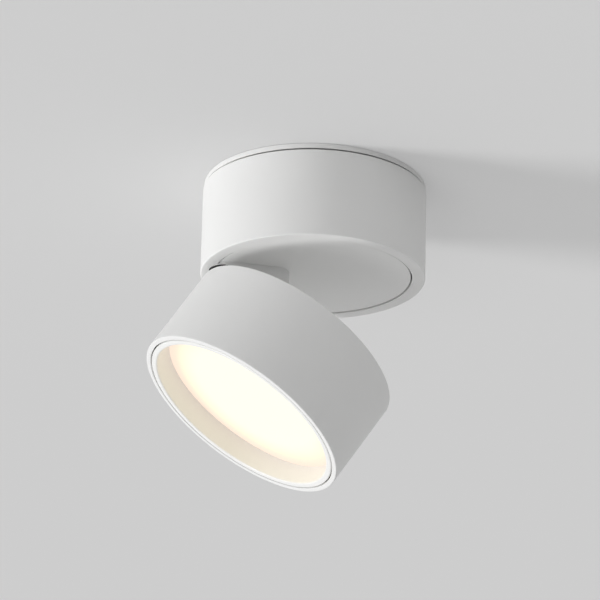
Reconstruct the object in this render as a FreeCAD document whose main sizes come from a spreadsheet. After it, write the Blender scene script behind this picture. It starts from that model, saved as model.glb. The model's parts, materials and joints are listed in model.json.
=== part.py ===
import FreeCAD, Part
import os
import re
import Sketcher

# Folding ceiling spotlight, in millimetres. The origin is the centre of the face that lies on the
# ceiling, +Z points up into the ceiling, and the hinge is on the -X side. The base hangs under the
# ceiling, a rotary plate turns in its underside and the lamp head swings about a pin in the bracket.
# Head pieces are drawn folded flat under the base, and their placement swings them down to rest.

SIZES = {
    # the two drums
    "drum_radius": 55.0,
    "base_height": 47.8,
    "base_wall": 2.0,
    "edge_round": 0.6,
    "fine_round": 0.3,
    # ceiling plate
    "plate_inset": 0.5,
    "plate_thickness": 1.5,
    "plate_depth": 2.5,
    "plate_edge": 1.5,
    "seam_gap": 1.0,
    "slot_spacing": 60.0,
    "slot_width": 5.2,
    "slot_length": 12.0,
    # twist lock between ceiling plate and base housing
    "lock_clearance": 3.0,
    "lock_wall": 1.5,
    "lock_depth": 9.5,
    "lug_height": 1.5,
    "lug_length": 1.9,
    "lug_gap": 0.4,
    "lug_angle": 22.0,
    "keeper_height": 2.0,
    # cable entry
    "cable_offset": 20.0,
    "cable_radius": 4.0,
    "grommet_neck": 6.5,
    "grommet_flange": 9.0,
    "grommet_depth": 2.5,
    "clamp_gap": 14.0,
    "clamp_length": 25.0,
    "clamp_width": 7.0,
    "clamp_height": 2.4,
    "clamp_boss": 7.5,
    "clamp_spacing": 18.0,
    "boss_radius": 3.4,
    # base housing floor and the well of the rotary plate
    "rim_width": 6.4,
    "well_depth": 9.4,
    "floor_thickness": 2.4,
    # pan bearing
    "shaft_radius": 5.0,
    "shaft_bore": 3.2,
    "shaft_top": 10.0,
    "running_gap": 0.05,
    "seat_gap": 0.02,
    "joint_gap": 0.3,
    "bush_radius": 7.5,
    "bush_flange": 11.0,
    "bush_lip": 1.2,
    "glide_radius": 14.0,
    "glide_thickness": 0.6,
    "stop_radius": 14.0,
    "stop_pin_radius": 1.0,
    "stop_pin_height": 3.5,
    "stop_washer_radius": 9.0,
    "stop_washer_thickness": 1.2,
    "finger_width": 2.5,
    "finger_length": 1.4,
    "spring_radius": 8.8,
    "spring_height": 1.0,
    "spring_thickness": 0.4,
    "nut_radius": 9.8,
    "nut_height": 4.0,
    # rotary plate
    "rotor_recess": 0.5,
    "rotor_gap": 0.7,
    "rotor_thickness": 2.5,
    "hub_seat": 2.8,
    "hub_cavity": 4.0,
    "wire_width": 7.0,
    # hinge bracket, measured out from the pan axis
    "bracket_inner": 12.0,
    "bracket_inset": 4.0,
    "bracket_half": 7.7,
    "flange_thickness": 1.8,
    "rim_clearance": 0.3,
    "block_inset": 7.0,
    "block_clearance": 1.0,
    "channel_start": 10.0,
    "channel_inset": 10.0,
    "channel_half": 4.5,
    "channel_depth": 6.2,
    "channel_hole": 3.5,
    "bracket_screw_start": 5.5,
    "bracket_screw_inset": 6.0,
    "bracket_screw_depth": 5.5,
    # hinge
    "hinge_inset": 7.0,
    "fold_gap": 9.4,
    "pin_lift": 0.7,
    "rest_tilt": 33.0,
    "pin_radius": 2.0,
    "pin_head_radius": 3.0,
    "pin_head_height": 1.8,
    "eye_radius": 3.8,
    "eye_half": 4.4,
    "washer_radius": 3.6,
    "washer_thickness": 0.5,
    "ear_thickness": 2.0,
    "knuckle_length": 22.0,
    "knuckle_gap": 5.0,
    "knuckle_toe": 1.0,
    "knuckle_thickness": 2.0,
    "knuckle_drop": 4.0,
    "knuckle_screw_far": 18.5,
    "knuckle_screw_near": 9.5,
    # lamp head, depths measured from its back
    "head_height": 47.4,
    "head_wall": 2.5,
    "back_thickness": 3.0,
    "hinge_slot_gap": 0.4,
    "post_radius": 3.5,
    "post_inset": 6.5,
    "sink_depth": 16.0,
    "sink_thickness": 3.0,
    "sink_gap": 2.0,
    "fin_top": 8.0,
    "fin_pitch": 8.0,
    "fin_thickness": 1.2,
    "fin_inset": 9.5,
    "pad_inset": 2.0,
    "pad_thickness": 0.5,
    "board_gap": 1.5,
    "board_thickness": 1.6,
    "board_screw_inset": 4.0,
    "led_pitch": 8.0,
    "led_length": 3.5,
    "led_width": 2.8,
    "led_height": 0.7,
    "wire_hole_inset": 12.0,
    "wire_hole_radius": 2.0,
    "plug_inset": 5.5,
    "plug_length": 5.0,
    "plug_width": 6.0,
    "plug_height": 3.5,
    # light chamber
    "foot_inset": 11.0,
    "foot_height": 3.0,
    "cone_inset": 2.5,
    "reflector_wall": 0.8,
    "reflector_gap": 0.5,
    "diffuser_gap": 1.5,
    "diffuser_thickness": 2.0,
    "light_depth": 11.1,
    "ring_width": 3.0,
    "ring_gap": 0.6,
    "ring_wall": 1.5,
    "ring_face": 2.0,
    "ring_round": 0.8,
    "hook_depth": 6.2,
    "hook_height": 1.6,
    "hook_length": 0.5,
    "hook_angle": 15.0,
    "groove_depth": 0.7,
    "groove_gap": 0.2,
    # driver
    "driver_length": 56.0,
    "driver_height": 20.0,
    "driver_gap": 1.6,
    "driver_inset": 12.0,
    "driver_wall": 1.5,
    "driver_tab": 6.5,
    "driver_tab_width": 10.0,
    "driver_tab_thickness": 2.0,
    "driver_rail": 2.0,
    "coil_size": 13.0,
    "coil_height": 9.5,
    "can_radius": 3.5,
    "can_height": 9.0,
    "can_spacing": 9.0,
    # mains terminals
    "terminal_length": 30.0,
    "terminal_width": 14.0,
    "terminal_height": 13.0,
    "terminal_inset": 26.0,
    "pole_pitch": 10.0,
    "pole_hole": 1.7,
    "pole_screw": 1.5,
    "pole_screw_spacing": 7.0,
    "pole_screw_length": 3.5,
    "earth_offset": 26.0,
    # small screws
    "screw_radius": 1.4,
    "screw_head": 2.6,
    "screw_head_height": 1.8,
    "screw_gap": 0.05,
    "drive_width": 0.7,
    "drive_depth": 0.7,
}

# Places that follow from the sizes above, each worked out from the piece that it fits.
PLACES = {
    "housing_bore": "drum_radius - base_wall",
    "well_radius": "drum_radius - rim_width",
    "rotor_radius": "well_radius - rotor_gap",
    "head_bore": "drum_radius - head_wall",
    "ring_radius": "head_bore - ring_gap",
    "lock_radius": "housing_bore - lock_clearance",
    "clamp_offset": "cable_offset + clamp_gap",
    "finger_tip": "stop_radius + finger_length",
    "hinge_offset": "drum_radius - hinge_inset",
    "bracket_outer": "drum_radius - bracket_inset",
    "block_outer": "hinge_offset - block_inset",
    "channel_inner": "bracket_inner + channel_start",
    "channel_outer": "hinge_offset - channel_inset",
    "bracket_screw_inner": "bracket_inner + bracket_screw_start",
    "bracket_screw_outer": "hinge_offset - bracket_screw_inset",
    "knuckle_inner": "hinge_offset - knuckle_length",
    "knuckle_base": "hinge_offset - knuckle_gap",
    "knuckle_foot": "hinge_offset + knuckle_toe",
    "knuckle_screw_inner": "hinge_offset - knuckle_screw_far",
    "knuckle_screw_outer": "hinge_offset - knuckle_screw_near",
    "post_circle": "head_bore - post_inset",
    "sink_radius": "head_bore - sink_gap",
    "fin_circle": "sink_radius - fin_inset",
    "foot_radius": "head_bore - foot_inset",
    "cone_radius": "head_bore - cone_inset",
    "reflector_flange": "head_bore - reflector_gap",
    "diffuser_radius": "head_bore - diffuser_gap",
    "opening_radius": "ring_radius - ring_width",
    "board_radius": "foot_radius - board_gap",
    "pad_radius": "board_radius - pad_inset",
    "board_screw_circle": "board_radius - board_screw_inset",
    "wire_hole_offset": "board_radius - wire_hole_inset",
    "plug_offset": "board_radius - plug_inset",
    "driver_front": "finger_tip + driver_gap",
    "driver_back": "drum_radius - driver_inset",
    "driver_offset": "(driver_front + driver_back) / 2",
    "terminal_offset": "drum_radius - terminal_inset",
}

EDGE_TOLERANCE = 1e-4
POLES = (-1, 0, 1)
THIRDS = (0, 120, 240)
LED_RINGS = (1, 2, 3)
LEDS_PER_RING = 6

doc = FreeCAD.newDocument("ceiling_spotlight")
sheet = doc.addObject("Spreadsheet::Sheet", "Sizes")
for row, (alias, amount) in enumerate(SIZES.items(), start=1):
    sheet.set(f"A{row}", alias)
    sheet.set(f"B{row}", str(amount))
    sheet.setAlias(f"B{row}", alias)
doc.recompute()

# Heights in the row frame. Every one comes from the sheet.
PLATE_UNDER = "(-plate_thickness)"
HOUSING_TOP = "(-plate_depth - seam_gap)"
RIM = "(-base_height)"
FLOOR_UNDER = "(-base_height + well_depth)"
FLOOR_TOP = "(-base_height + well_depth + floor_thickness)"
LUG_SEAT = "(-lock_depth + lug_height)"
ROTOR_FACE = "(-base_height + rotor_recess)"
ROTOR_TOP = "(-base_height + rotor_recess + rotor_thickness)"
HUB_TOP = f"({FLOOR_UNDER} - glide_thickness - joint_gap)"
SHAFT_SEAT = f"({ROTOR_TOP} + hub_seat)"
SHAFT_END = f"({FLOOR_TOP} + shaft_top)"
STOP_UNDER = f"({FLOOR_TOP} + bush_lip + joint_gap)"
SPRING_UNDER = f"({STOP_UNDER} + stop_washer_thickness)"
NUT_UNDER = f"({SPRING_UNDER} + spring_height)"
FLANGE_UNDER = f"({ROTOR_FACE} - flange_thickness)"
HEAD_BACK = "(-base_height - fold_gap)"
BLOCK_UNDER = f"({HEAD_BACK} + block_clearance)"
PIN_HEIGHT = f"({HEAD_BACK} + pin_lift)"

# Widths along the hinge pin, and the hole for a small screw.
EAR_INNER = "(eye_half + joint_gap + washer_thickness)"
EAR_OUTER = f"({EAR_INNER} + ear_thickness)"
PIN_END = f"({EAR_OUTER} + pin_head_height)"
SCREW_HOLE = "(screw_radius + screw_gap)"


def depth(amount):
    """Height of a plane that lies this far below the head's back while the head is folded."""
    return f"({HEAD_BACK} - ({amount}))"


INNER_BACK = depth("back_thickness")
SINK_TOP = depth("sink_depth")
SINK_UNDER = depth("sink_depth + sink_thickness")
PAD_UNDER = depth("sink_depth + sink_thickness + pad_thickness")
BOARD_UNDER = depth("sink_depth + sink_thickness + pad_thickness + board_thickness")
LIGHT_FACE = depth("head_height - light_depth")
DIFFUSER_TOP = depth("head_height - light_depth - diffuser_thickness")
HEAD_FRONT = depth("head_height")


def in_sheet(formula):
    """The formula with every place written out and every size name pointed at its cell."""
    def spelled(word):
        if word[0] in PLACES:
            return f"({in_sheet(PLACES[word[0]])})"
        return f"Sizes.{word[0]}" if word[0] in SIZES else word[0]
    return re.sub(r"[a-z]\w*", spelled, formula)


def bind(item, **formulas):
    """Bind properties of an object to formulas. at_x, at_y and at_z are its place."""
    for name, formula in formulas.items():
        place = {"at_x": "Placement.Base.x", "at_y": "Placement.Base.y", "at_z": "Placement.Base.z"}
        item.setExpression(place.get(name, name), in_sheet(str(formula)))
    return item


def add(kind, label, **formulas):
    item = doc.addObject(kind, label)
    item.Label = label
    return bind(item, **formulas)


def rod(label, radius, low, high, x="0", y="0"):
    """Upright cylinder between two heights."""
    return add("Part::Cylinder", label, Radius=radius, Height=f"{high} - ({low})", at_x=x, at_y=y, at_z=low)


def cross_rod(label, radius, low, high, x, z):
    """Cylinder along Y between two places."""
    item = add("Part::Cylinder", label, Radius=radius, Height=f"{high} - ({low})")
    item.Placement.Rotation = FreeCAD.Rotation(FreeCAD.Vector(1, 0, 0), -90)
    return bind(item, at_x=x, at_y=low, at_z=z)


def block(label, x, y, z):
    """Box between the two formulas of each pair."""
    return add("Part::Box", label, Length=f"{x[1]} - ({x[0]})", Width=f"{y[1]} - ({y[0]})",
               Height=f"{z[1]} - ({z[0]})", at_x=x[0], at_y=y[0], at_z=z[0])


def fuse(label, pieces):
    item = add("Part::MultiFuse", label)
    item.Shapes = pieces
    return item


def cut(label, base, tools):
    item = add("Part::Cut", label)
    item.Base = base
    item.Tool = tools[0] if len(tools) == 1 else fuse(label + "_cuts", tools)
    return item


def group(label, pieces):
    item = add("Part::Compound", label)
    item.Links = pieces
    return item


def tube(label, bore, radius, low, high, x="0", y="0"):
    return cut(label, rod(label + "_outer", radius, low, high, x, y),
               [rod(label + "_bore", bore, low, high, x, y)])


def sector(label, inner, outer, low, high, middle, sweep):
    """Piece of a ring, as wide as the sweep formula, round the middle angle."""
    parts = []
    for end, radius in (("_outer", outer), ("_inner", inner)):
        parts.append(add("Part::Cylinder", label + end, Radius=radius, Height=f"{high} - ({low})", at_z=low,
                         Angle=sweep))
        turn = f"{middle} - {sweep} / 2"
        parts[-1].Placement.Rotation = FreeCAD.Rotation(FreeCAD.Vector(0, 0, 1), 1)
        parts[-1].setExpression("Placement.Rotation.Angle", in_sheet(turn))
    return cut(label, parts[0], [parts[1]])


def screw(label, x, y, seat, length, up=1):
    """Pan-head screw with a slot. The head sits on the seat, and up says which way it points."""
    head_end = f"{seat} + {up} * screw_head_height"
    shank_end = f"{seat} - {up} * ({length})"
    ends = (seat, head_end) if up > 0 else (head_end, seat)
    shank = (shank_end, head_end) if up > 0 else (head_end, shank_end)
    slot_low = f"{head_end} - drive_depth" if up > 0 else head_end
    body = fuse(label + "_body", [rod(label + "_head", "screw_head", ends[0], f"({ends[1]})", x, y),
                                  rod(label + "_shank", "screw_radius", shank[0], f"({shank[1]})", x, y)])
    slot = block(label + "_slot", (f"{x} - screw_head", f"{x} + screw_head"),
                 (f"{y} - drive_width / 2", f"{y} + drive_width / 2"),
                 (slot_low, f"{slot_low} + drive_depth"))
    return cut(label, body, [slot])


def sketch_in(body, label, plane_role):
    plane = [item for item in body.Origin.OriginFeatures if item.Role == plane_role][0]
    sketch = body.newObject("Sketcher::SketchObject", label + "_sketch")
    sketch.AttachmentSupport = [(plane, "")]
    sketch.MapMode = "FlatFace"
    return sketch


def draw_outline(sketch, corners):
    """Closed line through corners whose two places are formulas, each held to the sketch's origin."""
    count = len(corners)
    for index in range(count):
        after = (index + 1) % count
        start = FreeCAD.Vector(index + 1, -index, 0)
        sketch.addGeometry(Part.LineSegment(start, FreeCAD.Vector(after + 1, -after, 0)), False)
    for index in range(count):
        sketch.addConstraint(Sketcher.Constraint("Coincident", index, 2, (index + 1) % count, 1))
    for index, corner in enumerate(corners):
        for kind, formula in zip(("DistanceX", "DistanceY"), corner):
            held = sketch.addConstraint(Sketcher.Constraint(kind, -1, 1, index, 1, 1.0))
            sketch.setExpression(f"Constraints[{held}]", in_sheet(formula))


def turned(label, corners):
    """Body turned about the Z axis from a section whose corners are radius and height."""
    body = doc.addObject("PartDesign::Body", label)
    body.Label = label
    sketch = sketch_in(body, label, "XZ_Plane")
    draw_outline(sketch, corners)
    turn = body.newObject("PartDesign::Revolution", label + "_turn")
    turn.Profile = (sketch, [""])
    turn.ReferenceAxis = (sketch, ["V_Axis"])
    turn.Angle = 360
    doc.recompute()
    return body


def plate_along_y(label, corners, low, high):
    """Body padded along Y from an outline whose corners are X and height."""
    body = doc.addObject("PartDesign::Body", label)
    body.Label = label
    sketch = sketch_in(body, label, "XZ_Plane")
    draw_outline(sketch, corners)
    pad = body.newObject("PartDesign::Pad", label + "_pad")
    pad.Profile = (sketch, [""])
    pad.setExpression("Length", in_sheet(f"{high} - ({low})"))
    pad.Reversed = True
    bind(body, at_y=low)
    doc.recompute()
    return body


def number(formula):
    """What the formula comes to with the sizes of the sheet."""
    return float(sheet.evalExpression(in_sheet(formula)))


def round_rims(body, label, rims, radius):
    """Fillet the circular edges of a turned body that lie at the given radius and height formulas."""
    names = []
    places = [(number(rim_radius), number(rim_height)) for rim_radius, rim_height in rims]
    for index, edge in enumerate(body.Tip.Shape.Edges, start=1):
        curve = edge.Curve
        if curve.TypeId != "Part::GeomCircle":
            continue
        for rim_radius, rim_height in places:
            if max(abs(curve.Radius - rim_radius), abs(curve.Center.z - rim_height)) < EDGE_TOLERANCE:
                names.append(f"Edge{index}")
    base = body.Tip
    fillet = body.newObject("PartDesign::Fillet", label)
    fillet.Base = (base, names)
    fillet.setExpression("Radius", in_sheet(radius))
    doc.recompute()
    return body


# Base: ceiling plate, its grommet and its cord clamp.

def slot_tool(label, x):
    half = "(slot_length / 2 - slot_width / 2)"
    ends = [rod(label + side, "slot_width / 2", PLATE_UNDER, "0", f"{x} {side_sign} {half}")
            for side, side_sign in (("_left", "-"), ("_right", "+"))]
    middle = block(label + "_middle", (f"{x} - {half}", f"{x} + {half}"),
                   ("-slot_width / 2", "slot_width / 2"), (PLATE_UNDER, "0"))
    return fuse(label, ends + [middle])


def make_ceiling_plate():
    outer = "(drum_radius - plate_inset)"
    disc = turned("plate_pressing", [
        ("0", "0"), (outer, "0"), (outer, "-plate_depth"), (f"{outer} - plate_edge", "-plate_depth"),
        (f"{outer} - plate_edge", PLATE_UNDER), ("lock_radius", PLATE_UNDER), ("lock_radius", "-lock_depth"),
        ("lock_radius - lock_wall", "-lock_depth"), ("lock_radius - lock_wall", PLATE_UNDER),
        ("0", PLATE_UNDER)])
    round_rims(disc, "plate_round", [(outer, "-plate_depth")], "fine_round")
    lugs = [sector(f"plate_lug_{angle}", "lock_radius - lock_wall / 2", "lock_radius + lug_length",
                   "(-lock_depth)", LUG_SEAT, angle, "lug_angle") for angle in THIRDS]
    bosses = []
    holes = []
    for side in (-1, 1):
        x = f"({side} * clamp_spacing / 2)"
        bosses.append(rod(f"plate_boss_{side + 1}", "boss_radius", "(-clamp_boss)", PLATE_UNDER, x,
                          "-clamp_offset"))
        holes.append(rod(f"plate_boss_hole_{side + 1}", SCREW_HOLE, "(-clamp_boss)", PLATE_UNDER, x,
                         "-clamp_offset"))
    holes.append(rod("plate_cable_hole", "grommet_neck", PLATE_UNDER, "0", "0", "-cable_offset"))
    holes += [slot_tool(f"plate_slot_{side + 1}", f"({side} * slot_spacing / 2)") for side in (-1, 1)]
    return cut("ceiling_plate", fuse("plate_with_lugs", [disc] + lugs + bosses), holes)


def make_cable_grommet():
    under = f"({PLATE_UNDER} - grommet_depth)"
    body = turned("cable_grommet", [
        ("cable_radius", "0"), ("grommet_neck", "0"), ("grommet_neck", PLATE_UNDER),
        ("grommet_flange", PLATE_UNDER), ("grommet_flange", under), ("cable_radius", under)])
    return bind(body, at_y="-cable_offset")


def make_cord_clamp():
    half = "clamp_length / 2"
    low = "(-clamp_boss - clamp_height)"
    bar = block("clamp_bar", (f"-{half}", half),
                ("-clamp_offset - clamp_width / 2", "-clamp_offset + clamp_width / 2"),
                (low, "(-clamp_boss)"))
    places = [f"({side} * clamp_spacing / 2)" for side in (-1, 1)]
    holes = [rod(f"clamp_hole_{index}", SCREW_HOLE, low, "(-clamp_boss)", x, "-clamp_offset")
             for index, x in enumerate(places)]
    screws = [screw(f"clamp_screw_{index}", x, "-clamp_offset", low,
                    "clamp_height + clamp_boss - plate_depth", -1)
              for index, x in enumerate(places)]
    return [cut("cord_clamp", bar, holes), group("cord_clamp_screws", screws)]


# Base: housing, driver and terminals.

DRIVER_SCREW_X = "(driver_length / 2 + driver_tab / 2)"
TERMINAL_SCREW_X = "(pole_pitch / 2)"


def floor_hole(label, x, y, radius=SCREW_HOLE):
    return rod(label, radius, FLOOR_UNDER, FLOOR_TOP, x, y)


def make_base_housing():
    cup = turned("housing_casting", [
        ("housing_bore", HOUSING_TOP), ("drum_radius", HOUSING_TOP), ("drum_radius", RIM),
        ("well_radius", RIM),
        ("well_radius", FLOOR_UNDER), ("bush_radius", FLOOR_UNDER), ("bush_radius", FLOOR_TOP),
        ("housing_bore", FLOOR_TOP)])
    round_rims(cup, "housing_edge", [("drum_radius", RIM)], "edge_round")
    round_rims(cup, "housing_fine_edges", [("drum_radius", HOUSING_TOP), ("well_radius", RIM)], "fine_round")
    keepers = [sector(f"keeper_{angle}", "lock_radius + lug_gap", "drum_radius - base_wall / 2",
                      LUG_SEAT, f"({LUG_SEAT} + keeper_height)", angle, "lug_angle") for angle in THIRDS]
    holes = [floor_hole("stop_pin_hole", "stop_radius", "0", "stop_pin_radius"),
             floor_hole("earth_hole", "-earth_offset", "-earth_offset")]
    for side in (-1, 1):
        holes.append(floor_hole(f"driver_hole_{side + 1}", f"({side} * {DRIVER_SCREW_X})", "driver_offset"))
        holes.append(floor_hole(f"terminal_hole_{side + 1}", f"({side} * {TERMINAL_SCREW_X})",
                                "-terminal_offset"))
    return cut("base_housing", fuse("housing_with_keepers", [cup] + keepers), holes)


def make_driver():
    half = "driver_length / 2"
    front = "driver_front"
    back = "driver_back"
    lid_under = f"({FLOOR_TOP} + driver_height - driver_wall)"
    shell = block("driver_shell", (f"-{half}", half), (front, back), (FLOOR_TOP, lid_under))
    tabs = block("driver_tabs", (f"-{half} - driver_tab", f"{half} + driver_tab"),
                 ("driver_offset - driver_tab_width / 2", "driver_offset + driver_tab_width / 2"),
                 (FLOOR_TOP, f"{FLOOR_TOP} + driver_tab_thickness"))
    inside = (f"-{half} + driver_wall", f"{half} - driver_wall")
    hollow = block("driver_hollow", inside, (f"{front} + driver_wall", f"{back} - driver_wall"),
                   (f"{FLOOR_TOP} + driver_wall", lid_under))
    tray_floor = f"({FLOOR_TOP} + driver_wall)"
    board_under = f"({tray_floor} + driver_rail)"
    rails = [block("driver_rail_front", inside,
                   (f"{front} + driver_wall", f"{front} + driver_wall + driver_rail"),
                   (tray_floor, board_under)),
             block("driver_rail_back", inside,
                   (f"{back} - driver_wall - driver_rail", f"{back} - driver_wall"),
                   (tray_floor, board_under))]
    seats = [f"({side} * {DRIVER_SCREW_X})" for side in (-1, 1)]
    holes = [floor_hole(f"driver_tab_hole_{index}", x, "driver_offset") for index, x in enumerate(seats)]
    for hole in holes:
        bind(hole, Height="floor_thickness + driver_tab_thickness")
    tray = cut("driver_tray", fuse("driver_shell_and_tabs", [shell, tabs]), [hollow] + holes)
    case = fuse("driver_case", [tray] + rails)
    cover = block("driver_cover", (f"-{half}", half), (front, back),
                  (lid_under, f"{lid_under} + driver_wall"))
    board_top = f"({board_under} + board_thickness)"
    board = block("driver_board", (f"{inside[0]} + joint_gap", f"{inside[1]} - joint_gap"),
                  (f"{front} + driver_wall + joint_gap", f"{back} - driver_wall - joint_gap"),
                  (board_under, board_top))
    coil = block("driver_transformer", ("-coil_size / 2", "coil_size / 2"),
                 ("driver_offset - coil_size / 2", "driver_offset + coil_size / 2"),
                 (board_top, f"{board_top} + coil_height"))
    cans = [rod(f"driver_can_{index}", "can_radius", board_top, f"({board_top} + can_height)",
                "driver_length / 2 - coil_size", f"driver_offset + {side} * can_spacing / 2")
            for index, side in enumerate((-1, 1))]
    screws = [screw(f"driver_screw_{index}", x, "driver_offset", f"({FLOOR_TOP} + driver_tab_thickness)",
                    "driver_tab_thickness + floor_thickness") for index, x in enumerate(seats)]
    return [case, cover, board, coil, group("driver_capacitors", cans), group("driver_screws", screws)]


def make_terminals():
    top = f"({FLOOR_TOP} + terminal_height)"
    front = "(-terminal_offset - terminal_width / 2)"
    back = "(-terminal_offset + terminal_width / 2)"
    bar = block("terminal_bar", ("-terminal_length / 2", "terminal_length / 2"), (front, back),
                (FLOOR_TOP, top))
    cuts = []
    pole_screws = []
    for pole in POLES:
        x = f"({pole} * pole_pitch)"
        cuts.append(cross_rod(f"pole_hole_{pole + 1}", "pole_hole", front, back, x,
                              f"{FLOOR_TOP} + terminal_height / 2"))
        for side in (-1, 1):
            name = f"{pole + 1}_{side + 1}"
            y = f"(-terminal_offset + {side} * pole_screw_spacing / 2)"
            low = f"({top} - pole_screw_length - joint_gap)"
            cuts.append(rod(f"pole_well_{name}", "pole_screw + screw_gap", low, top, x, y))
            pole_screws.append(rod(f"pole_screw_{name}", "pole_screw", low, f"({low} + pole_screw_length)",
                                   x, y))
    fixings = []
    for side in (-1, 1):
        x = f"({side} * {TERMINAL_SCREW_X})"
        seat = f"({top} - screw_head_height)"
        cuts.append(rod(f"fixing_hole_{side + 1}", SCREW_HOLE, FLOOR_TOP, top, x, "-terminal_offset"))
        cuts.append(rod(f"fixing_well_{side + 1}", "screw_head + screw_gap", seat, top, x,
                        "-terminal_offset"))
        fixings.append(screw(f"fixing_screw_{side + 1}", x, "-terminal_offset", seat,
                             "terminal_height - screw_head_height + floor_thickness"))
    earth = screw("earth_screw", "(-earth_offset)", "(-earth_offset)", FLOOR_TOP, "floor_thickness")
    return [cut("terminal_block", bar, cuts), group("terminal_screws", pole_screws),
            group("terminal_fixings", fixings), earth]


# Pan bearing: bush and glide washer in the floor, shaft, stop washer, spring and nut on the rotor.

def make_pan_bearing():
    bore = "(shaft_radius + running_gap)"
    held = "(shaft_radius + seat_gap)"
    bush = turned("pan_bush", [
        (bore, FLOOR_UNDER), ("bush_radius", FLOOR_UNDER), ("bush_radius", FLOOR_TOP),
        ("bush_flange", FLOOR_TOP),
        ("bush_flange", f"{FLOOR_TOP} + bush_lip"), (bore, f"{FLOOR_TOP} + bush_lip")])
    glide = tube("glide_washer", "shaft_radius + joint_gap", "glide_radius",
                 f"({FLOOR_UNDER} - glide_thickness)", FLOOR_UNDER)
    stop_pin = rod("stop_pin", "stop_pin_radius", FLOOR_UNDER, f"({FLOOR_TOP} + stop_pin_height)",
                   "stop_radius")
    shaft = tube("pan_shaft", "shaft_bore", "shaft_radius", SHAFT_SEAT, SHAFT_END)
    ring = rod("stop_ring", "stop_washer_radius", STOP_UNDER, SPRING_UNDER)
    finger = block("stop_finger", ("-finger_tip", "-stop_washer_radius / 2"),
                   ("-finger_width / 2", "finger_width / 2"), (STOP_UNDER, SPRING_UNDER))
    stop = cut("stop_washer", fuse("stop_washer_blank", [ring, finger]),
               [rod("stop_washer_bore", held, STOP_UNDER, SPRING_UNDER)])
    spring_low = f"({SPRING_UNDER} + spring_thickness)"
    spring = turned("spring_washer", [
        (held, f"{NUT_UNDER} - spring_thickness"), (held, NUT_UNDER),
        ("spring_radius", spring_low), ("spring_radius", SPRING_UNDER)])
    hexagon = add("Part::Prism", "pan_nut_hexagon", Circumradius="nut_radius", Height="nut_height",
                  at_z=NUT_UNDER)
    hexagon.Polygon = 6
    nut = cut("pan_nut", hexagon, [rod("pan_nut_bore", held, NUT_UNDER, f"({NUT_UNDER} + nut_height)")])
    return [bush, glide, stop_pin, shaft, stop, spring, nut]


def make_rotary_plate():
    held = "(shaft_radius + seat_gap)"
    disc = turned("rotor_disc", [
        (held, HUB_TOP), ("glide_radius", HUB_TOP), ("glide_radius", ROTOR_TOP), ("rotor_radius", ROTOR_TOP),
        ("rotor_radius", ROTOR_FACE), ("0", ROTOR_FACE), ("0", ROTOR_TOP), ("hub_cavity", ROTOR_TOP),
        ("hub_cavity", SHAFT_SEAT), (held, SHAFT_SEAT)])
    round_rims(disc, "rotor_edge", [("rotor_radius", ROTOR_FACE)], "fine_round")
    window = block("rotor_window", ("-glide_radius - joint_gap", "0"), ("-wire_width / 2", "wire_width / 2"),
                   (ROTOR_TOP, SHAFT_SEAT))
    middle = "(-(channel_inner + channel_outer) / 2)"
    holes = [window, rod("rotor_wire_hole", "channel_hole", ROTOR_FACE, ROTOR_TOP, middle)]
    for place in ("bracket_screw_inner", "bracket_screw_outer"):
        holes.append(rod(f"rotor_{place}_hole", SCREW_HOLE, ROTOR_FACE, ROTOR_TOP, f"(-{place})"))
    return cut("rotary_plate", disc, holes)


def make_hinge_bracket():
    inner_centre = "(-bracket_inner - bracket_half)"
    outer_centre = "(-bracket_outer + bracket_half)"
    sides = ("-bracket_half", "bracket_half")
    overlap = "(flange_thickness / 2)"
    flange = fuse("bracket_flange", [
        rod("flange_inner_end", "bracket_half", FLANGE_UNDER, ROTOR_FACE, inner_centre),
        rod("flange_outer_end", "bracket_half", FLANGE_UNDER, ROTOR_FACE, outer_centre),
        block("flange_middle", (outer_centre, inner_centre), sides, (FLANGE_UNDER, ROTOR_FACE))])
    body_top = f"({FLANGE_UNDER} + {overlap})"
    body = fuse("bracket_block", [
        rod("block_inner_end", "bracket_half", BLOCK_UNDER, body_top, inner_centre),
        block("block_middle", ("-block_outer", inner_centre), sides, (BLOCK_UNDER, body_top))])
    web = block("bracket_web", ("-hinge_offset", "-channel_outer"), ("-eye_half", "eye_half"),
                (BLOCK_UNDER, body_top))
    eye = cross_rod("bracket_eye", "eye_radius", "-eye_half", "eye_half", "-hinge_offset", PIN_HEIGHT)
    relief_low = f"({RIM} - rim_clearance)"
    relief = tube("bracket_relief", "rotor_radius - rim_clearance", "drum_radius * 2", relief_low, ROTOR_FACE)
    channel = block("bracket_channel", ("-channel_outer", "-channel_inner"),
                    ("-channel_half", "channel_half"),
                    (f"{ROTOR_FACE} - channel_depth", ROTOR_FACE))
    bore = cross_rod("bracket_bore", "pin_radius + running_gap", "-eye_half", "eye_half", "-hinge_offset",
                     PIN_HEIGHT)
    holes = []
    screws = []
    for place in ("bracket_screw_inner", "bracket_screw_outer"):
        low = f"({ROTOR_FACE} - bracket_screw_depth - joint_gap)"
        holes.append(rod(f"{place}_hole", SCREW_HOLE, low, ROTOR_FACE, f"(-{place})"))
        screws.append(screw(f"{place}_screw", f"(-{place})", "0", ROTOR_TOP,
                            "rotor_thickness + bracket_screw_depth"))
    bracket = cut("hinge_bracket", fuse("bracket_casting", [flange, body, web, eye]),
                  [relief, channel, bore] + holes)
    return [bracket, group("bracket_screws", screws)]


# Lamp head, folded: hinge first, then housing, heat sink, light source and front.

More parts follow.
